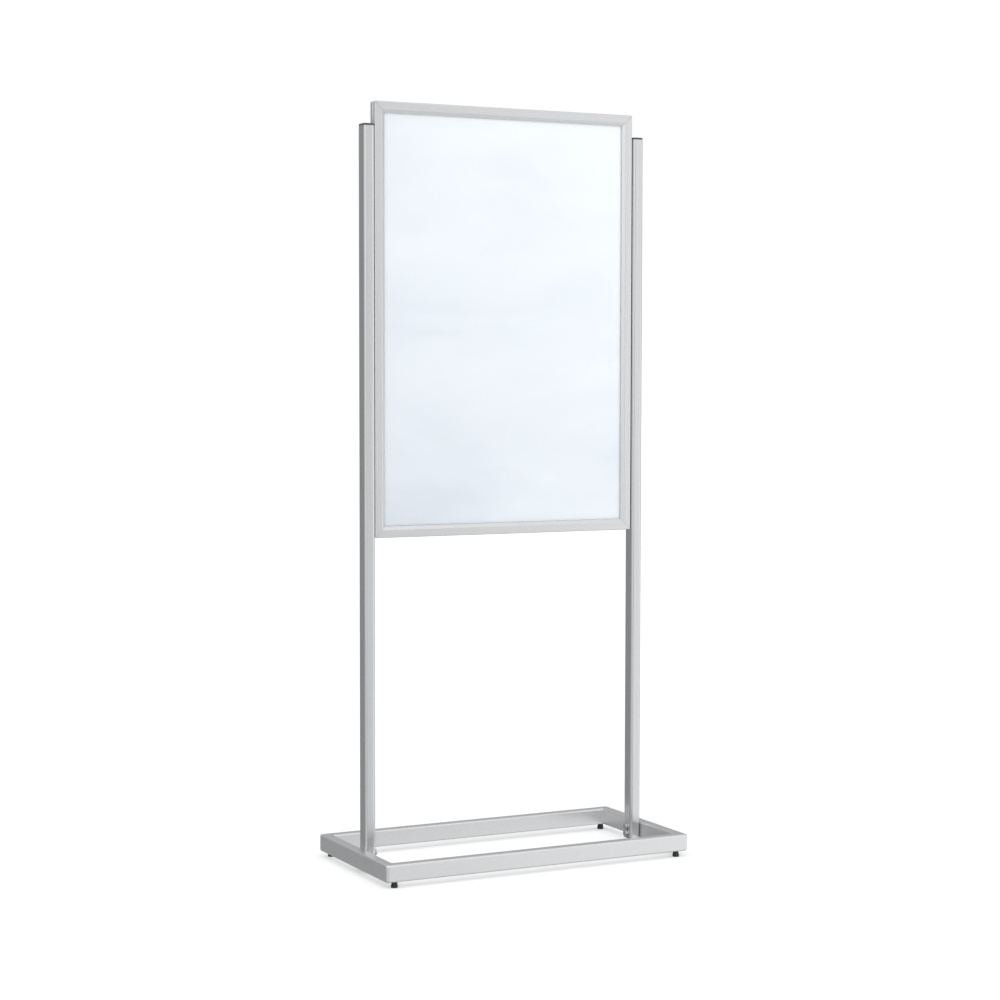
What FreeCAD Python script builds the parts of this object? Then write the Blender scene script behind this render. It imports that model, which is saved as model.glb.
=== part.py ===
import FreeCAD, Part
import math
import os

from FreeCAD import Vector as V

# Freestanding poster holder: a double-sided snap frame between two posts on an
# open tube base with levelling feet. Millimetres. X is to the right seen from the
# front, -Y is the front, Z is up. The origin is on the floor, under the middle.

# ---------------------------------------------------------------- dimensions
# base ring
BASE_W, BASE_D = 744.0, 372.0
RAIL_W, RAIL_H, RAIL_T = 25.0, 38.0, 1.5
RAIL_R = 4.5                      # tube edge radius
RING_R, RING_IN_R = 7.0, 2.0      # dressed corners of the ring, outside and inside
RAIL_Z0 = 13.0                    # underside of the rails above the floor
# levelling feet
FOOT_END, FOOT_Y = 24.0, 12.5     # in from the rail's end, in from its outer face
PAD_R, PAD_TOP = 7.5, 12.7
STUD_R, STUD_TOP = 3.95, 46.0
FOOT_TRAVEL = 12.0
# posts
POST_W, POST_D, POST_T, POST_R = 26.0, 32.0, 1.6, 6.0
POST_Z0, POST_Z1 = 15.0, 1621.0
CAP_T = 5.0
BOLT_Z = (24.0, 40.0)
# frame
FRAME_W, FRAME_H = 640.0, 944.0
FRAME_TOP = 1675.0
FRAME_BOTTOM = FRAME_TOP - FRAME_H
POST_GAP = 1.0                    # frame edge to post
FACE_V = 12.0                     # half the frame's thickness
FACE_U = 25.0                     # width of the visible rail
SHEET_U = 15.0                    # poster edge, in from the frame's outer edge
MITRE_GAP = 0.25                  # each hinged cover stops short of the mitre line
SOCKET_SETBACK = 4.6              # sockets end short of the corner, so two open covers pass
# hinge bead of the hinged covers
BEAD_U, BEAD_V, BEAD_R = 2.9, 8.5, 1.5
SOCKET_IN, SOCKET_OUT = 1.55, 2.75
SOCKET_A1, SOCKET_A2 = 2.0, 208.0
# fixed profile
CH_U0, CH_U1, CH_V, CH_T = 1.0, 11.0, 5.4, 1.2
GROOVE_U = 14.5
# infill
PANEL_T, PANEL_U = 8.0, 12.0
POSTER_T = 0.2
COVER_V0, COVER_T = 4.3, 1.0
# frame to post screws
SCREW_Z = (841.0, 1515.0)

POST_XI = FRAME_W / 2 + POST_GAP  # inner face of a post
POST_XO = POST_XI + POST_W        # outer face of a post
POST_XC = (POST_XI + POST_XO) / 2

os.makedirs("parts", exist_ok=True)
NODES = {}


def node(name, shape):
    """Keep one node: a single solid, or a group of separate like solids."""
    solids = shape if isinstance(shape, list) else [shape]
    out = []
    for s in solids:
        s = s.removeSplitter()
        out += s.Solids
    for s in out:
        if not s.isValid():
            raise ValueError(name + " is not valid")
    NODES[name] = out[0] if len(out) == 1 else Part.makeCompound(out)
    return NODES[name]


# ---------------------------------------------------------------- small shapes
def face_of(edges):
    return Part.Face(Part.Wire(Part.__sortEdges__(edges)))


def poly_face(points):
    return Part.Face(Part.makePolygon(points + [points[0]]))


def rrect(w, h, r, at):
    """Rounded rectangle w by h about (0, 0), drawn through at(a, b) -> Vector."""
    a, b, k = w / 2, h / 2, r * (1 - math.sqrt(0.5))
    e = [
        Part.makeLine(at(-a + r, -b), at(a - r, -b)),
        Part.Arc(at(a - r, -b), at(a - k, -b + k), at(a, -b + r)).toShape(),
        Part.makeLine(at(a, -b + r), at(a, b - r)),
        Part.Arc(at(a, b - r), at(a - k, b - k), at(a - r, b)).toShape(),
        Part.makeLine(at(a - r, b), at(-a + r, b)),
        Part.Arc(at(-a + r, b), at(-a + k, b - k), at(-a, b - r)).toShape(),
        Part.makeLine(at(-a, b - r), at(-a, -b + r)),
        Part.Arc(at(-a, -b + r), at(-a + k, -b + k), at(-a + r, -b)).toShape(),
    ]
    return face_of(e)


def cyl(r, p, axis, length):
    return Part.makeCylinder(r, length, p, axis)


def ring(r_out, r_in, p, axis, length):
    return cyl(r_out, p, axis, length).cut(cyl(r_in, p - axis, axis, length + 2))


def hexagon(flats, p, axis, length):
    """Hexagonal prism with a flat side up, along axis from p."""
    axis = V(axis).normalize()
    one = V(0, 0, 1) if abs(axis.z) < 0.5 else V(1, 0, 0)
    two = axis.cross(one)
    R = flats / math.sqrt(3)
    pts = []
    for i in range(6):
        t = math.radians(60 * i + 30)
        pts.append(p + one * (R * math.cos(t)) + two * (R * math.sin(t)))
    return poly_face(pts).extrude(axis * length)


def revolve(profile, x, y):
    """Turn a closed (radius, height) outline about the vertical line at x, y."""
    pts = [V(x + r, y, z) for r, z in profile]
    return poly_face(pts).revolve(V(x, y, 0), V(0, 0, 1), 360)


# ---------------------------------------------------------------- base ring
def rail_map(side):
    """(s along the rail, u in from its outer face, z) to the row frame."""
    if side == "front":
        return lambda s, u, z: V(-BASE_W / 2 + s, -BASE_D / 2 + u, z)
    if side == "rear":
        return lambda s, u, z: V(-BASE_W / 2 + s, BASE_D / 2 - u, z)
    if side == "left":
        return lambda s, u, z: V(-BASE_W / 2 + u, -BASE_D / 2 + s, z)
    return lambda s, u, z: V(BASE_W / 2 - u, -BASE_D / 2 + s, z)


def rounded_ring(inset):
    """The whole ring as one body, its long edges rounded; inset gives the hollow."""
    z0, h = RAIL_Z0 + inset, RAIL_H - 2 * inset

    def plan(w, d, r):
        return rrect(w, d, r, lambda a, b: V(a, b, z0)).extrude(V(0, 0, h))

    body = plan(BASE_W - 2 * inset, BASE_D - 2 * inset, RING_R - inset).cut(
        plan(BASE_W - 2 * RAIL_W + 2 * inset, BASE_D - 2 * RAIL_W + 2 * inset, RING_IN_R + inset))
    level = [e for e in body.Edges if e.BoundBox.ZLength < 1e-6]
    return body.makeFillet(RAIL_R - inset, level)


RING = rounded_ring(0.0).cut(rounded_ring(RAIL_T))


def base_rail(side):
    """One tube of the ring, cut out at its two mitres."""
    at = rail_map(side)
    length = BASE_W if side in ("front", "rear") else BASE_D
    lo, hi = -1.0, RAIL_W + 1.0
    cut = poly_face([at(lo, lo, 0), at(length - lo, lo, 0),
                     at(length - hi, hi, 0), at(hi, hi, 0)])
    return RING.common(cut.extrude(V(0, 0, 200)))


FOOT_X = BASE_W / 2 - FOOT_END
FOOT_YC = BASE_D / 2 - FOOT_Y
FEET = {
    "front_left": (-FOOT_X, -FOOT_YC),
    "front_right": (FOOT_X, -FOOT_YC),
    "rear_left": (-FOOT_X, FOOT_YC),
    "rear_right": (FOOT_X, FOOT_YC),
}
UP = V(0, 0, 1)

for side in ("front", "rear"):
    rail = base_rail(side)
    for key, (x, y) in FEET.items():
        if key.startswith(side):
            rail = rail.cut(cyl(4.4, V(x, y, RAIL_Z0 - 1), UP, RAIL_T + 2))
    node("base_" + side + "_rail", rail)

for side, sg in (("left", -1), ("right", 1)):
    rail = base_rail(side)
    for z in BOLT_Z:
        rail = rail.cut(cyl(4.4, V(sg * (POST_XO - 1), 0, z), V(sg, 0, 0), RAIL_T + 2))
    node("base_" + side + "_rail", rail)

nuts = []
for x, y in FEET.values():
    p = V(x, y, RAIL_Z0 + RAIL_T)
    nuts.append(hexagon(13.0, p, UP, 6.5).cut(cyl(4.0, p - UP, UP, 8.5)))
node("foot_weld_nuts", nuts)

# ---------------------------------------------------------------- levelling feet
for key, (x, y) in FEET.items():
    pad = revolve([(0, 0), (PAD_R - 0.9, 0), (PAD_R, 0.9), (PAD_R, 5.2), (PAD_R - 0.5, 6.2),
                   (6.1, 11.9), (5.6, PAD_TOP), (4.0, PAD_TOP), (4.0, 7.05),
                   (5.25, 7.05), (5.25, 2.95), (0, 2.95)], x, y)
    node(key + "_foot_pad", pad)
    stud = revolve([(0, 3.0), (5.2, 3.0), (5.2, 7.0), (STUD_R, 7.0), (STUD_R, STUD_TOP - 0.9),
                    (STUD_R - 0.9, STUD_TOP), (0, STUD_TOP)], x, y)
    node(key + "_foot_stud", stud)

# ---------------------------------------------------------------- posts
post_nuts, bolts, washers, sleeves, plugs = [], [], [], [], []
spacers, screws, plates, hole_plugs = [], [], [], []
for side, sg in (("left", -1), ("right", 1)):
    xc = sg * POST_XC
    out = V(sg, 0, 0)                       # away from the frame
    outer = rrect(POST_W, POST_D, POST_R, lambda a, b: V(xc + a, b, POST_Z0))
    inner = rrect(POST_W - 2 * POST_T, POST_D - 2 * POST_T, POST_R - POST_T,
                  lambda a, b: V(xc + a, b, POST_Z0 - 1))
    post = outer.extrude(UP * (POST_Z1 - POST_Z0)).cut(
        inner.extrude(UP * (POST_Z1 - POST_Z0 + 2)))
    for z in BOLT_Z:
        post = post.cut(cyl(4.3, V(sg * (POST_XI - 1), 0, z), out, POST_W + 2))
    for z in SCREW_Z:
        post = post.cut(cyl(2.75, V(sg * (POST_XI - 1), 0, z), out, POST_T + 2))
        post = post.cut(cyl(5.6, V(sg * (POST_XO - POST_T - 1), 0, z), out, POST_T + 2))
    node(side + "_post", post)

    # cap: a chamfered plate with a hollow skirt that pushes into the tube
    cw, cd = POST_W, POST_D
    low = rrect(cw, cd, POST_R, lambda a, b: V(xc + a, b, POST_Z1)).extrude(UP * (CAP_T - 1.2))
    top = Part.makeLoft([
        rrect(cw, cd, POST_R, lambda a, b: V(xc + a, b, POST_Z1 + CAP_T - 1.2)).OuterWire,
        rrect(cw - 2.4, cd - 2.4, POST_R, lambda a, b: V(xc + a, b, POST_Z1 + CAP_T)).OuterWire,
    ], True, True)
    sw, sd = POST_W - 2 * POST_T - 0.4, POST_D - 2 * POST_T - 0.4
    skirt = rrect(sw, sd, POST_R - POST_T, lambda a, b: V(xc + a, b, POST_Z1 - 14)).extrude(UP * 14)
    skirt = skirt.cut(rrect(sw - 4, sd - 4, POST_R - POST_T - 2, lambda a, b: V(xc + a, b, POST_Z1 - 15)).extrude(UP * 15))
    node(side + "_post_cap", low.fuse([top, skirt]))

    # bottom plug: a plate with a front and a rear tab, clear of the bolts
    plug = rrect(cw, cd, POST_R, lambda a, b: V(xc + a, b, RAIL_Z0)).extrude(UP * (POST_Z0 - RAIL_Z0))
    for sy in (-1, 1):
        y0 = sy * (sd / 2)
        tab = Part.makeBox(14, 2.2, 12, V(xc - 7, min(y0, y0 - sy * 2.2), POST_Z0))
        plug = plug.fuse(tab)
    plugs.append(plug)

    for z in BOLT_Z:
        face = V(sg * POST_XI, 0, z)        # post's inner face
        washers.append(ring(7.8, 4.2, face - out * 1.6, out, 1.6))
        head = hexagon(13.0, face - out * 6.9, out, 5.3)
        # the bolt head's outer corners are turned to a cone
        cone = Part.makeCone(6.0, 12.0, 6.0, face - out * 6.9, out)
        head = head.common(cone)
        bolts.append(head.fuse(cyl(4.0, face - out * 1.6, out, 36.6)))
        sleeves.append(ring(6.5, 4.3, face + out * POST_T, out, POST_W - 2 * POST_T))
        back = V(sg * (POST_XO + RAIL_T), 0, z)
        post_nuts.append(hexagon(13.0, back, out, 6.5).cut(cyl(4.0, back - out, out, 8.5)))

    for z in SCREW_Z:
        p = V(sg * (FRAME_W / 2 - CH_U0), 0, z)       # fixed profile's outer wall
        spacers.append(ring(4.2, 2.7, p, out, POST_GAP + CH_U0))
        seat = V(sg * (POST_XI + POST_T), 0, z)
        # pan head with a hexagon recess
        head = cyl(4.75, seat, out, 3.2).cut(hexagon(3.0, seat + out * 1.4, out, 3.0))
        screws.append(head.fuse(cyl(2.5, seat - out * 11.5, out, 11.5)))
        q = V(sg * (FRAME_W / 2 - CH_U0 - CH_T), 0, z)  # inside of that wall
        plate = Part.makeBox(4.0, 6.0, 20.0, V(min(q.x, q.x - sg * 4.0), -3.0, z - 10))
        plates.append(plate.cut(cyl(2.5, q + out, -out, 6)))
        rim = V(sg * POST_XO, 0, z)
        hole_plugs.append(cyl(5.5, rim - out * POST_T, out, POST_T).fuse(
            ring(5.4, 4.2, rim - out * (POST_T + 3), out, 3.0)))

node("post_foot_plugs", plugs)
node("post_weld_nuts", post_nuts)
node("post_bolts", bolts)
node("post_bolt_washers", washers)
node("post_crush_sleeves", sleeves)

# ---------------------------------------------------------------- frame members
def side_map(side, face=1):
    """(s along the member, u in from the frame's outer edge, v out of the face).

    face is 1 for the front and -1 for the rear.
    """
    x0, z0, z1 = -FRAME_W / 2, FRAME_BOTTOM, FRAME_TOP
    if side == "top":
        return lambda s, u, v: V(x0 + s, -face * v, z1 - u)
    if side == "bottom":
        return lambda s, u, v: V(x0 + s, -face * v, z0 + u)
    if side == "left":
        return lambda s, u, v: V(x0 + u, -face * v, z0 + s)
    return lambda s, u, v: V(-x0 - u, -face * v, z0 + s)


def member_length(side):
    return FRAME_W if side in ("top", "bottom") else FRAME_H


def mitre(shape, side, gap):
    at, n = side_map(side), member_length(side)
    lo, hi = -1.0, FACE_U + 2.0
    cut = poly_face([at(lo + gap, lo, -40), at(n - lo - gap, lo, -40),
                     at(n - hi - gap, hi, -40), at(hi + gap, hi, -40)])
    return shape.common(cut.extrude(at(0, 0, 40) - at(0, 0, -40)))


def polar(r, deg):
    t = math.radians(deg)
    return BEAD_U + r * math.cos(t), BEAD_V + r * math.sin(t)


def profile_member(side):
    """Fixed extrusion: key chamber, panel groove, and a hinge bead on each face."""
    at, n = side_map(side), member_length(side)
    run = at(1, 0, 0) - at(0, 0, 0)

    def bar(points, s0=0.0, s1=n):
        return poly_face([at(s0, u, v) for u, v in points]).extrude(run * (s1 - s0))

    body = bar([(CH_U0, -CH_V), (GROOVE_U, -CH_V), (GROOVE_U, CH_V), (CH_U0, CH_V)])
    t = CH_T
    body = body.cut(bar([(CH_U0 + t, -CH_V + t), (CH_U1 - t, -CH_V + t),
                         (CH_U1 - t, CH_V - t), (CH_U0 + t, CH_V - t)]))
    body = body.cut(bar([(CH_U1, -CH_V + t), (GROOVE_U + 1, -CH_V + t),
                         (GROOVE_U + 1, CH_V - t), (CH_U1, CH_V - t)]))
    d, nrm = (math.cos(math.radians(-30)), math.sin(math.radians(-30))), None
    nrm = (-d[1], d[0])
    w, reach = 0.55, (BEAD_V - CH_V + 0.5) / 0.5
    parts = []
    for f in (1, -1):
        arm = []
        for a, b in ((0, w), (reach, w), (reach, -w), (0, -w)):
            arm.append((BEAD_U + d[0] * a + nrm[0] * b, f * (BEAD_V + d[1] * a + nrm[1] * b)))
        parts.append(bar(arm))
        parts.append(cyl(BEAD_R, at(0, BEAD_U, f * BEAD_V), run, n))
    return mitre(body.fuse(parts), side, 0.0)


def snap_section(at):
    """Outline of a hinged cover: face, bevel, lip, and a socket round the bead."""
    def p(u, v):
        return at(0, u, v)

    def line(a, b):
        return Part.makeLine(p(*a), p(*b))

    def arc(a, m, b):
        return Part.Arc(p(*a), p(*m), p(*b)).toShape()

    under = FACE_V - 1.4
    join = math.degrees(math.asin((under - BEAD_V) / SOCKET_OUT))
    o1, i1 = polar(SOCKET_OUT, SOCKET_A1), polar(SOCKET_IN, SOCKET_A1)
    o2, i2 = polar(SOCKET_OUT, SOCKET_A2), polar(SOCKET_IN, SOCKET_A2)
    left = polar(SOCKET_OUT, 180)
    cr = 2.3                              # round of the outer edge
    cu, cv, k = left[0] + cr, FACE_V - cr, cr * math.sqrt(0.5)
    start = (cu, FACE_V)
    e = [
        line(start, (16.6, FACE_V)),
        arc((16.6, FACE_V), (17.2, FACE_V - 0.08), (17.75, FACE_V - 0.3)),
        line((17.75, FACE_V - 0.3), (24.3, FACE_V - 3.9)),
        arc((24.3, FACE_V - 3.9), (24.83, FACE_V - 4.4), (25.0, FACE_V - 5.1)),
        line((25.0, FACE_V - 5.1), (25.0, FACE_V - 6.4)),
        line((25.0, FACE_V - 6.4), (23.7, FACE_V - 6.4)),
        line((23.7, FACE_V - 6.4), (23.7, FACE_V - 5.15)),
        line((23.7, FACE_V - 5.15), (16.8, under)),
        line((16.8, under), polar(SOCKET_OUT, join)),
        arc(polar(SOCKET_OUT, join), polar(SOCKET_OUT, (join + SOCKET_A1) / 2), o1),
        line(o1, i1),
        arc(i1, polar(SOCKET_IN, (SOCKET_A1 + SOCKET_A2) / 2), i2),
        line(i2, o2),
        arc(o2, polar(SOCKET_OUT, (SOCKET_A2 + 180) / 2), left),
        line(left, (left[0], cv)),
        arc((left[0], cv), (cu - k, cv + k), start),
    ]
    return face_of(e)


def snap_rail(side, face):
    at, n = side_map(side, face), member_length(side)
    run = at(1, 0, 0) - at(0, 0, 0)
    rail = mitre(snap_section(at).extrude(run * n), side, MITRE_GAP)
    for a, b in ((-1.0, SOCKET_SETBACK), (n - SOCKET_SETBACK, n + 1.0)):
        low = FACE_V - 8.0
        clear = poly_face([at(a, -1, low), at(b, -1, low), at(b, 6.5, low), at(a, 6.5, low)])
        rail = rail.cut(clear.extrude(at(0, 0, 7.0) - at(0, 0, 0)))
    return rail


def leaf_spring(side, face, s):
    """Bent leaf, 22 mm wide, that stands on the fixed profile under the cover."""
    at = side_map(side, face)
    run = at(1, 0, 0) - at(0, 0, 0)
    top = FACE_V - 2.25
    pts = [(9.8, CH_V), (10.4, CH_V), (11.75, top - 0.55), (12.25, top - 0.55), (13.6, CH_V), (14.2, CH_V),
           (12.65, top), (11.35, top)]
    return poly_face([at(s - 11, u, v) for u, v in pts]).extrude(run * 22)


SIDES = ("top", "bottom", "left", "right")
for side in SIDES:
    prof = profile_member(side)
    if side in ("left", "right"):
        sg = -1 if side == "left" else 1
        for z in SCREW_Z:
            prof = prof.cut(cyl(2.75, V(sg * (FRAME_W / 2 + 1), 0, z), V(-sg, 0, 0), 4.5))
    node("frame_" + side + "_profile", prof)

for name, face in (("front", 1), ("rear", -1)):
    for side in SIDES:
        node(name + "_" + side + "_snap_rail", snap_rail(side, face))
    leaves = []
    for side in SIDES:
        n = member_length(side)
        places = (0.25, 0.75) if side in ("top", "bottom") else (0.17, 0.5, 0.83)
        leaves += [leaf_spring(side, face, n * k) for k in places]
    node(name + "_snap_springs", leaves)

# corner keys: an angle of flat bar in the key chambers
keys = []
k0, k1, kv, leg = CH_U0 + CH_T + 0.1, CH_U1 - CH_T - 0.1, CH_V - CH_T - 0.1, 45.0
for sx in (-1, 1):
    for z_edge, sz in ((FRAME_TOP, -1), (FRAME_BOTTOM, 1)):
        def kp(a, b):
            return V(sx * (FRAME_W / 2 - a), -kv, z_edge + sz * b)
        pts = [kp(k0, k0), kp(leg, k0), kp(leg, k1), kp(k1, k1), kp(k1, leg), kp(k0, leg)]
        keys.append(poly_face(pts).extrude(V(0, 2 * kv, 0)))
node("corner_keys", keys)


# ---------------------------------------------------------------- infill
def slab(u, v0, v1):
    """Upright sheet, inset u from the frame's edge, from depth v0 to v1 (front is +)."""
    w, h = FRAME_W - 2 * u, FRAME_H - 2 * u
    return Part.makeBox(w, v1 - v0, h, V(-w / 2, -v1, FRAME_BOTTOM + u))


half = PANEL_T / 2
node("backing_panel", slab(PANEL_U, -half, half))
node("front_poster", slab(SHEET_U, half, half + POSTER_T))
node("rear_poster", slab(SHEET_U, -half - POSTER_T, -half))
node("front_cover_sheet", slab(SHEET_U, COVER_V0, COVER_V0 + COVER_T))
node("rear_cover_sheet", slab(SHEET_U, -COVER_V0 - COVER_T, -COVER_V0))

node("frame_spacers", spacers)
node("frame_mount_screws", screws)
node("frame_nut_plates", plates)
node("post_hole_plugs", hole_plugs)

# ---------------------------------------------------------------- write
total = None
for name, shape in NODES.items():
    shape.exportStep("parts/" + name + ".step")
    b = shape.BoundBox
    total = b if total is None else total.united(b)
    print("%-28s solids %2d  volume %10.1f mm3" % (name, len(shape.Solids), shape.Volume))
print("box", [round(v, 2) for v in (total.XMin, total.YMin, total.ZMin, total.XMax, total.YMax, total.ZMax)])
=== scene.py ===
import bmesh
import bpy
import math
from mathutils import Matrix, Vector


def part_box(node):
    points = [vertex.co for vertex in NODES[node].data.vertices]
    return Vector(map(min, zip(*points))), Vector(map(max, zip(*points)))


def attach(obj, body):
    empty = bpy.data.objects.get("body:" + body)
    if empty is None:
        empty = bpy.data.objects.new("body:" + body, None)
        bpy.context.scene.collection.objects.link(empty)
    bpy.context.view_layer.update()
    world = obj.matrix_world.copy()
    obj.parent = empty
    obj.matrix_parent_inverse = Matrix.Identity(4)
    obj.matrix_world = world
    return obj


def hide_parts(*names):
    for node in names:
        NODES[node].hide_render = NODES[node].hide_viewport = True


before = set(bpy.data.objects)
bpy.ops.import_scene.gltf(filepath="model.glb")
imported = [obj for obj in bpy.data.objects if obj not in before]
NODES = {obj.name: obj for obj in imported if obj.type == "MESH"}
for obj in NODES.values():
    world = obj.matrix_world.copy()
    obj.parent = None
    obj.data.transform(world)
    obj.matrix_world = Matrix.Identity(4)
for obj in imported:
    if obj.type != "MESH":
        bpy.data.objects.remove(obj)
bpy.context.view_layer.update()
SCENE = bpy.context.scene
SCENE.view_settings.view_transform = "Standard"
SCENE.view_settings.look = "None"

FEET = {"front_left": (-0.348, -0.1735), "front_right": (0.348, -0.1735),
        "rear_left": (-0.348, 0.1735), "rear_right": (0.348, 0.1735)}
SIDES = ("top", "bottom", "left", "right")


# ------------------------------------------------------------------ camera
def make_camera():
    """The photograph's viewpoint: left of centre, a little above half height."""
    yaw, pitch, roll = math.radians(26.831), math.radians(3.289), math.radians(0.083)
    fwd = Vector((math.sin(yaw) * math.cos(pitch), math.cos(yaw) * math.cos(pitch), -math.sin(pitch)))
    right = Vector((math.cos(yaw), -math.sin(yaw), 0.0))
    up = right.cross(fwd)
    c, s = math.cos(roll), math.sin(roll)
    r2, u2 = right * c + up * s, up * c - right * s
    data = bpy.data.cameras.new("camera")
    data.sensor_width = 36.0
    data.lens = 81.933
    data.clip_start, data.clip_end = 0.05, 200.0
    cam = bpy.data.objects.new("camera", data)
    SCENE.collection.objects.link(cam)
    m = Matrix.Identity(4)
    for i, col in enumerate((r2, u2, -fwd)):
        for j in range(3):
            m[j][i] = col[j]
    m.translation = Vector((-2.3037, -4.5339, 1.0983))
    cam.matrix_world = m
    SCENE.camera = cam


make_camera()


# ------------------------------------------------------------------ node helpers
class Tree:
    """A material's node tree with short ways to add what these finishes need."""

    def __init__(self, name):
        self.mat = bpy.data.materials.new(name)
        self.mat.use_nodes = True
        self.nt = self.mat.node_tree
        self.nt.nodes.clear()
        self.out = self.nt.nodes.new("ShaderNodeOutputMaterial")

    def add(self, kind, **sockets):
        n = self.nt.nodes.new("ShaderNode" + kind)
        for k, v in sockets.items():
            self.put(n.inputs[k.replace("_", " ")], v)
        return n

    def put(self, socket, value):
        if hasattr(value, "is_linked"):
            self.nt.links.new(value, socket)
        else:
            socket.default_value = value

    def coords(self, scale):
        """Object coordinates, stretched: detail repeats scale times a metre."""
        tc = self.add("TexCoord")
        mp = self.add("Mapping", Vector=tc.outputs["Object"], Scale=scale)
        return mp.outputs["Vector"]

    def noise(self, scale, detail=4.0, rough=0.55, distortion=0.0):
        n = self.add("TexNoise", Vector=self.coords(scale), Scale=1.0, Detail=detail, Roughness=rough,
                     Distortion=distortion)
        return n.outputs["Fac"]

    def cells(self, scale):
        n = self.add("TexVoronoi", Vector=self.coords(scale), Scale=1.0)
        return n.outputs["Color"]

    def ramp(self, fac, *stops):
        n = self.add("ValToRGB", Fac=fac)
        e = n.color_ramp.elements
        while len(e) < len(stops):
            e.new(0.5)
        for i, (pos, col) in enumerate(stops):
            e[i].position = pos
            e[i].color = (*col, 1.0)
        return n.outputs["Color"]

    def span(self, fac, lo, hi, a=0.3, b=0.7):
        n = self.add("MapRange", Value=fac)
        n.inputs["From Min"].default_value, n.inputs["From Max"].default_value = a, b
        n.inputs["To Min"].default_value, n.inputs["To Max"].default_value = lo, hi
        return n.outputs["Result"]

    def mix(self, fac, a, b, kind="MIX"):
        n = self.nt.nodes.new("ShaderNodeMix")
        n.data_type = "RGBA"
        n.blend_type = kind
        self.put(n.inputs[0], fac)
        self.put(n.inputs[6], a)
        self.put(n.inputs[7], b)
        return n.outputs[2]

    def sum(self, a, b):
        n = self.nt.nodes.new("ShaderNodeMath")
        n.operation = "ADD"
        self.put(n.inputs[0], a)
        self.put(n.inputs[1], b)
        return n.outputs[0]

    def bump(self, height, strength, distance, normal=None):
        n = self.add("Bump", Height=height, Strength=strength, Distance=distance)
        if normal is not None:
            self.put(n.inputs["Normal"], normal)
        return n.outputs["Normal"]

    def principled(self, **sockets):
        n = self.add("BsdfPrincipled", **sockets)
        self.nt.links.new(n.outputs[0], self.out.inputs["Surface"])
        return self.mat


def grey(v, cool=0.0):
    return (v * (1 - cool), v, v * (1 + cool))


ALONG = {"x": (3.0, 900.0, 900.0), "y": (900.0, 3.0, 900.0), "z": (900.0, 900.0, 3.0)}
BROAD = {"x": (1.2, 60.0, 60.0), "y": (60.0, 1.2, 60.0), "z": (60.0, 60.0, 1.2)}


def anodised(name, axis, lo, hi, rough, metal):
    """Satin anodised extrusion: fine die lines along its length and a cloudy etch."""
    t = Tree(name)
    lines = t.noise(ALONG[axis], 5.0, 0.65)
    broad = t.noise(BROAD[axis], 3.0, 0.5)
    etch = t.noise((2600.0, 2600.0, 2600.0), 2.0, 0.6)
    colour = t.ramp(lines, (0.32, grey(lo, 0.008)), (0.68, grey(hi, 0.006)))
    colour = t.mix(t.span(broad, 0.0, 0.55), colour, (*grey(lo * 0.97, 0.012), 1.0))
    normal = t.bump(lines, 0.10, 0.00004)
    normal = t.bump(etch, 0.05, 0.00002, normal)
    return t.principled(Base_Color=colour, Metallic=metal, Roughness=t.span(lines, rough - 0.05, rough + 0.06),
                        Normal=normal)


def powder(name):
    """Silver powder coat: tiny flakes in a clear film with a slight orange peel."""
    t = Tree(name)
    peel = t.noise((420.0, 420.0, 420.0), 2.0, 0.5)
    flake = t.add("SeparateColor", Color=t.cells((2400.0, 2400.0, 2400.0))).outputs[0]
    broad = t.noise((14.0, 14.0, 14.0), 3.0, 0.5)
    colour = t.ramp(flake, (0.0, grey(0.73, 0.006)), (0.75, grey(0.80, 0.006)), (1.0, grey(0.88, 0.004)))
    colour = t.mix(t.span(broad, 0.0, 0.25), colour, (*grey(0.75, 0.01), 1.0))
    normal = t.bump(peel, 0.10, 0.00012)
    return t.principled(Base_Color=colour, Metallic=0.9, Roughness=t.span(peel, 0.27, 0.37), Normal=normal)


def black_plastic(name, dark, light, smooth, dull):
    """Black moulding with a fine spark-eroded grain."""
    t = Tree(name)
    grain = t.noise((1800.0, 1800.0, 1800.0), 3.0, 0.6)
    broad = t.noise((90.0, 90.0, 90.0), 2.0, 0.5)
    colour = t.ramp(broad, (0.3, grey(dark, 0.02)), (0.7, grey(light, 0.02)))
    return t.principled(Base_Color=colour, Roughness=t.span(grain, smooth, dull),
                        Normal=t.bump(grain, 0.35, 0.00006))


def zinc(name):
    """Bright zinc plate with a faint straw and blue passivation bloom."""
    t = Tree(name)
    bloom = t.noise((160.0, 160.0, 160.0), 3.0, 0.6)
    fine = t.noise((1500.0, 1500.0, 1500.0), 2.0, 0.6)
    colour = t.ramp(bloom, (0.3, (0.50, 0.52, 0.55)), (0.52, (0.58, 0.58, 0.57)), (0.75, (0.59, 0.56, 0.50)))
    return t.principled(Base_Color=colour, Metallic=1.0, Roughness=t.span(fine, 0.36, 0.50),
                        Normal=t.bump(fine, 0.12, 0.00003))


def spring_steel(name):
    t = Tree(name)
    roll = t.noise((900.0, 900.0, 12.0), 3.0, 0.6)
    heat = t.noise((60.0, 60.0, 60.0), 2.0, 0.5)
    colour = t.ramp(heat, (0.3, (0.25, 0.27, 0.33)), (0.7, (0.42, 0.42, 0.43)))
    return t.principled(Base_Color=colour, Metallic=1.0, Roughness=t.span(roll, 0.26, 0.40),
                        Normal=t.bump(roll, 0.1, 0.00003))


def cast_alloy(name):
    t = Tree(name)
    skin = t.noise((700.0, 700.0, 700.0), 3.0, 0.6)
    colour = t.ramp(skin, (0.3, grey(0.44)), (0.7, grey(0.56)))
    return t.principled(Base_Color=colour, Metallic=0.9, Roughness=t.span(skin, 0.45, 0.62),
                        Normal=t.bump(skin, 0.3, 0.0001))


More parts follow.
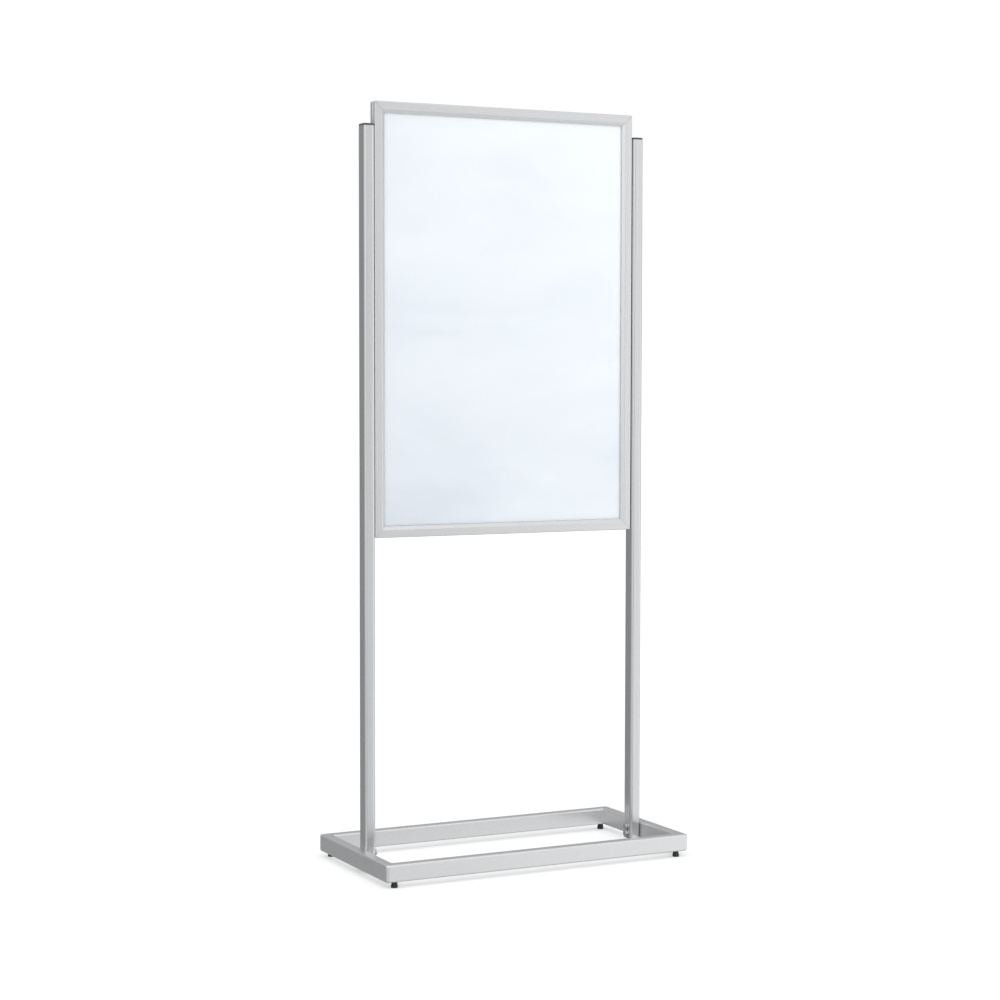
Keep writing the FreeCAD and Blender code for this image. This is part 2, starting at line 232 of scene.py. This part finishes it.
def white_board(name):
    t = Tree(name)
    foam = t.noise((900.0, 900.0, 900.0), 3.0, 0.6)
    colour = t.ramp(foam, (0.3, (0.80, 0.80, 0.79)), (0.7, (0.87, 0.87, 0.86)))
    return t.principled(Base_Color=colour, Roughness=t.span(foam, 0.55, 0.7), Normal=t.bump(foam, 0.15, 0.00008))


def poster_paper(name):
    """Blank coated sheet, very pale blue, clouded in broad level drifts, with a painted light gradient: paler to the
    upper right, darker to the lower left.
    """
    t = Tree(name)
    place = t.add("SeparateXYZ", Vector=t.add("TexCoord").outputs["Object"]).outputs
    drift = t.noise((1.6, 1.0, 5.2), 6.0, 0.56, 0.5)
    wide = t.noise((2.1, 1.0, 3.4), 2.0, 0.45)
    fibre = t.noise((1400.0, 1400.0, 1400.0), 3.0, 0.6)
    # painted light: the colour grows paler towards the right and towards the top, where more light falls; the drift
    # adds random clouding on top of it
    tone = t.sum(t.span(place[0], -0.21, 0.21, -0.3, 0.3), t.span(place[2], 0.26, 0.74, 0.74, 1.66))
    tone = t.sum(tone, t.span(drift, -0.17, 0.17, 0.32, 0.68))
    colour = t.ramp(tone, (0.0, (0.728, 0.770, 0.818)), (0.25, (0.794, 0.836, 0.884)), (0.5, (0.866, 0.905, 0.946)),
                    (0.72, (0.928, 0.957, 0.982)), (1.0, (0.962, 0.978, 0.993)))
    colour = t.mix(t.span(wide, 0.0, 0.45, 0.45, 0.72), colour, (0.905, 0.912, 0.922, 1.0))
    return t.principled(Base_Color=colour, Roughness=t.span(fibre, 0.45, 0.6), Normal=t.bump(fibre, 0.05, 0.00003))


def clear_cover(name):
    """Clear sheet with a soft anti-glare face: it shows what is behind and mirrors a little."""
    t = Tree(name)
    fine = t.noise((500.0, 500.0, 500.0), 2.0, 0.5)
    gloss = t.add("BsdfGlossy", Roughness=t.span(fine, 0.10, 0.16))
    gloss.inputs["Color"].default_value = (1, 1, 1, 1)
    see = t.add("BsdfTransparent")
    see.inputs["Color"].default_value = (0.995, 0.998, 1.0, 1)
    facing = t.add("LayerWeight", Blend=0.5).outputs["Facing"]
    edge = t.ramp(facing, (0.0, grey(0.020)), (0.45, grey(0.026)), (0.72, grey(0.07)), (0.90, grey(0.24)),
                  (1.0, grey(0.80)))
    mixer = t.nt.nodes.new("ShaderNodeMixShader")
    t.nt.links.new(edge, mixer.inputs[0])
    t.nt.links.new(see.outputs[0], mixer.inputs[1])
    t.nt.links.new(gloss.outputs[0], mixer.inputs[2])
    t.nt.links.new(mixer.outputs[0], t.out.inputs["Surface"])
    return t.mat


FRAME_X = anodised("anodised_frame_x", "x", 0.70, 0.78, 0.24, 0.88)
FRAME_Z = anodised("anodised_frame_z", "z", 0.70, 0.78, 0.24, 0.88)
INNER_X = anodised("matt_profile_x", "x", 0.76, 0.83, 0.46, 0.35)
INNER_Z = anodised("matt_profile_z", "z", 0.76, 0.83, 0.46, 0.35)
POST_Z = anodised("anodised_post_z", "z", 0.69, 0.77, 0.26, 1.0)
COAT = powder("silver_powder_coat")
BLACK = black_plastic("black_moulding", 0.012, 0.024, 0.42, 0.62)
CAP = black_plastic("black_cap_moulding", 0.060, 0.085, 0.30, 0.44)
ZINC = zinc("zinc_plate")
SPRING = spring_steel("blued_spring_steel")
CAST = cast_alloy("die_cast_alloy")
BOARD = white_board("foamed_board")
PAPER = poster_paper("blank_paper")
CLEAR = clear_cover("clear_sheet")


def finish_of(name):
    across = "top" in name or "bottom" in name
    if name.endswith("_snap_rail"):
        return FRAME_X if across else FRAME_Z
    if name.endswith("_profile"):
        return INNER_X if across else INNER_Z
    if name in ("left_post", "right_post", "post_hole_plugs"):
        return POST_Z
    if name.startswith("base_"):
        return COAT
    if name.endswith("_cap") or name.endswith("_pad") or name == "post_foot_plugs":
        return BLACK
    if name.endswith("_springs"):
        return SPRING
    if name == "corner_keys":
        return CAST
    if name == "backing_panel":
        return BOARD
    if name.endswith("_poster"):
        return PAPER
    if name.endswith("_cover_sheet"):
        return CLEAR
    return ZINC


for name, obj in NODES.items():
    obj.data.materials.clear()
    obj.data.materials.append(finish_of(name))


# ------------------------------------------------------------------ modelled pieces
def add_piece(name, verts, faces, body, node, material, sharp=38.0):
    """A closed mesh in millimetres, in the row frame, that stands for a node."""
    me = bpy.data.meshes.new(name)
    me.from_pydata([(x * 0.001, y * 0.001, z * 0.001) for x, y, z in verts], [], faces)
    bm = bmesh.new()
    bm.from_mesh(me)
    bmesh.ops.remove_doubles(bm, verts=bm.verts, dist=1e-7)
    bmesh.ops.recalc_face_normals(bm, faces=bm.faces)
    bm.to_mesh(me)
    bm.free()
    me.shade_smooth()
    me.set_sharp_from_angle(angle=math.radians(sharp))
    me.materials.append(material)
    obj = bpy.data.objects.new(name, me)
    SCENE.collection.objects.link(obj)
    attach(obj, body)
    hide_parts(node)
    return obj


def skin(rings, first=None, last=None):
    """Quads between rings of equal count; the ends close on a point or with one face."""
    n = len(rings[0])
    verts = [p for r in rings for p in r]
    faces = []
    for k in range(len(rings) - 1):
        for i in range(n):
            j = (i + 1) % n
            faces.append((k * n + i, k * n + j, (k + 1) * n + j, (k + 1) * n + i))
    for tip, base in ((first, 0), (last, (len(rings) - 1) * n)):
        if tip is None:
            faces.append(tuple(base + i for i in range(n)))
        else:
            verts.append(tip)
            faces += [(base + i, base + (i + 1) % n, len(verts) - 1) for i in range(n)]
    return verts, faces


def arc_points(r0, z0, r, a0, a1, count):
    """Points of an arc about (r0, z0), from angle a0 to a1 in degrees."""
    out = []
    for i in range(count + 1):
        a = math.radians(a0 + (a1 - a0) * i / count)
        out.append((r0 + r * math.cos(a), z0 + r * math.sin(a)))
    return out


def foot_pad(key):
    """Moulded glide: a ring of contact underneath, finger flutes, a collar round the stud."""
    x, y = FEET[key][0] * 1000, FEET[key][1] * 1000
    outline = [(2.0, 0.55), (4.3, 0.5), (4.75, 0.32), (5.1, 0.0), (6.2, 0.0)]
    outline += arc_points(6.4, 1.1, 1.1, -80, 0, 5)
    outline += [(7.5, 1.1 + 0.35 * i) for i in range(1, 11)]
    outline += arc_points(6.4, 4.9, 1.1, 15, 62, 4)
    outline += [(6.75, 6.9), (6.55, 8.4), (6.35, 9.9), (6.2, 11.2)]
    outline += arc_points(5.4, 11.95, 0.75, 5, 90, 5)
    outline += [(4.45, 12.7), (4.2, 12.6), (4.05, 12.35), (4.05, 7.1), (5.25, 7.05), (5.25, 2.95), (2.0, 2.95)]
    n, rings = 120, []
    for r, z in outline:
        ring = []
        for i in range(n):
            t = 2 * math.pi * i / n
            grip = 0.0
            if r > 6.5 and 0.7 < z < 6.6:
                rise = min(1.0, (z - 0.7) / 1.0, (6.6 - z) / 1.2)
                grip = 0.34 * max(0.0, rise) * max(0.0, math.cos(12 * t)) ** 1.5
            ring.append((x + (r - grip) * math.cos(t), y + (r - grip) * math.sin(t), z))
        rings.append(ring)
    verts, faces = skin(rings, (x, y, 0.55), (x, y, 2.95))
    add_piece(key + "_pad_moulding", verts, faces, key + "_foot", key + "_foot_pad", BLACK)


def foot_stud(key):
    """M8 levelling stud, 1.25 mm right-hand thread, with a round head held in the pad."""
    x, y = FEET[key][0] * 1000, FEET[key][1] * 1000
    crest, root, pitch, n = 3.95, 3.3, 1.25, 28
    rows = [(5.0, 3.0, 0), (5.2, 3.2, 0), (5.2, 6.8, 0), (5.0, 7.0, 0), (3.3, 7.0, 0), (3.3, 7.6, 0)]
    z, step = 8.0, pitch / 8
    while z < 46.0 - 1e-6:
        rows.append((None, z, 1))
        z += step
    rows.append((2.95, 46.0, 0))
    rings = []
    for r, z, cut in rows:
        ring = []
        for i in range(n):
            t = 2 * math.pi * i / n
            q = r
            if cut:
                f = abs(((z / pitch - i / n) % 1.0) - 0.5) * 2
                q = crest - (crest - root) * min(1.0, max(0.0, (f - 0.14) / 0.62))
                q = min(q, root + (z - 8.0) * 0.6, 2.95 + (46.0 - z) * 1.0)
            ring.append((x + q * math.cos(t), y + q * math.sin(t), z))
        rings.append(ring)
    verts, faces = skin(rings, (x, y, 3.0), (x, y, 46.0))
    add_piece(key + "_stud_thread", verts, faces, key + "_stud", key + "_foot_stud", ZINC, 50.0)


def round_rect(xc, w, d, r, z, steps=6):
    out = []
    for cx, cy, a0 in ((1, 1, 0), (-1, 1, 90), (-1, -1, 180), (1, -1, 270)):
        for i in range(steps + 1):
            a = math.radians(a0 + 90 * i / steps)
            out.append((xc + cx * (w / 2 - r) + r * math.cos(a), cy * (d / 2 - r) + r * math.sin(a), z))
    return out


def post_cap(side):
    """Push-in cap: a plate with a soft edge and a slight crown, and a hollow skirt with lead-in."""
    lo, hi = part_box(side + "_post")
    xc, w, d, z0 = (lo[0] + hi[0]) * 500, (hi[0] - lo[0]) * 1000, (hi[1] - lo[1]) * 1000, hi[2] * 1000

    def level(inset, z):
        return round_rect(xc, w - 2 * inset, d - 2 * inset, max(6.0 - inset, 0.8), z)

    rings = [level(10.2, z0 + 5.0), level(8.0, z0 + 4.95), level(6.0, z0 + 4.86), level(4.2, z0 + 4.74),
             level(2.9, z0 + 4.6)]
    for a in (75, 60, 45, 30, 15, 0):
        c, s = math.cos(math.radians(a)), math.sin(math.radians(a))
        rings.append(level(2.2 * (1 - c), z0 + 2.35 + 2.2 * s))
    rings += [level(0.0, z0 + 0.55), level(0.12, z0 + 0.25), level(0.4, z0 + 0.02), level(1.9, z0 + 0.02)]
    for inset, z in ((1.8, -0.3), (1.8, -12.0), (2.3, -13.6), (2.7, -14.0), (3.4, -14.0), (3.8, -13.6), (3.8, -0.6)):
        rings.append(level(inset, z0 + z))
    verts, faces = skin(rings)
    add_piece(side + "_cap_moulding", verts, faces, "stand", side + "_post_cap", CAP)


for key in FEET:
    foot_pad(key)
    foot_stud(key)
for side in ("left", "right"):
    post_cap(side)


# ------------------------------------------------------------------ stage
def make_stage():
    half = 40.0
    me = bpy.data.meshes.new("floor")
    me.from_pydata([(-half, -half, 0), (half, -half, 0), (half, half, 0), (-half, half, 0)], [], [(0, 1, 2, 3)])
    floor = bpy.data.objects.new("floor", me)
    SCENE.collection.objects.link(floor)
    t = Tree("pale_floor")
    tone = t.noise((0.9, 0.9, 0.9), 2.0, 0.5)
    colour = t.ramp(tone, (0.3, (0.92, 0.92, 0.92)), (0.7, (0.94, 0.94, 0.94)))
    me.materials.append(t.principled(Base_Color=colour, Roughness=0.85, Specular_IOR_Level=0.2,
                                     Emission_Color=(1.0, 1.0, 1.0, 1.0), Emission_Strength=0.32))
    floor.visible_glossy = False

    # a room of soft light: a broad key on the right, another beside the camera, a pale ceiling and
    # ground, and a dim side behind on the left; nothing in it is brighter than ROOM_MOST
    world = bpy.data.worlds.new("studio")
    SCENE.world = world
    world.use_nodes = True
    nt = world.node_tree
    nt.nodes.clear()
    out = nt.nodes.new("ShaderNodeOutputWorld")
    tc = nt.nodes.new("ShaderNodeTexCoord")

    def math_node(kind, a, b):
        n = nt.nodes.new("ShaderNodeMath")
        n.operation = kind
        for s, v in zip(n.inputs, (a, b)):
            if hasattr(v, "is_linked"):
                nt.links.new(v, s)
            else:
                s.default_value = v
        return n.outputs[0]

    def lobe(towards, power, gain):
        n = nt.nodes.new("ShaderNodeVectorMath")
        n.operation = "DOT_PRODUCT"
        nt.links.new(tc.outputs["Generated"], n.inputs[0])
        n.inputs[1].default_value = Vector(towards).normalized()
        return math_node("MULTIPLY", math_node("POWER", math_node("MAXIMUM", n.outputs["Value"], 0.0), power), gain)

    level = ROOM_LEVEL
    for towards, power, gain in ROOM_LIGHTS:
        level = math_node("ADD", lobe(towards, power, gain), level)
    level = math_node("MINIMUM", level, ROOM_MOST)
    room = nt.nodes.new("ShaderNodeBackground")
    room.inputs["Color"].default_value = (0.985, 0.995, 1.0, 1)
    nt.links.new(level, room.inputs["Strength"])
    plain = nt.nodes.new("ShaderNodeBackground")
    plain.inputs["Color"].default_value = (1, 1, 1, 1)
    plain.inputs["Strength"].default_value = 1.02
    path = nt.nodes.new("ShaderNodeLightPath")
    mixer = nt.nodes.new("ShaderNodeMixShader")
    nt.links.new(path.outputs["Is Camera Ray"], mixer.inputs[0])
    nt.links.new(room.outputs[0], mixer.inputs[1])
    nt.links.new(plain.outputs[0], mixer.inputs[2])
    nt.links.new(mixer.outputs[0], out.inputs["Surface"])


ROOM_LEVEL, ROOM_MOST = 0.295, 1.15
ROOM_LIGHTS = (
    # direction towards the light, how narrow, how bright
    ((0.84, -0.48, -0.26), 8.0, 0.86),
    ((0.75, -0.66, 0.25), 16.0, 0.74),
    ((0.74, -0.65, -0.23), 16.0, 0.58),
    ((-0.33, -0.93, 0.18), 8.0, 0.66),
    ((-0.90, -0.40, 0.17), 8.0, 0.33),
    ((-0.42, -0.38, 0.82), 3.0, 0.59),
    ((-0.10, -0.50, 0.86), 3.0, 0.53),
    ((0.58, -0.60, 0.55), 8.0, 0.27),
    ((0.15, 0.55, 0.82), 3.0, 0.32),
    ((0.50, -0.50, -0.70), 3.0, 0.18),
    ((0.0, 0.0, -1.0), 1.0, 0.14),
)
make_stage()
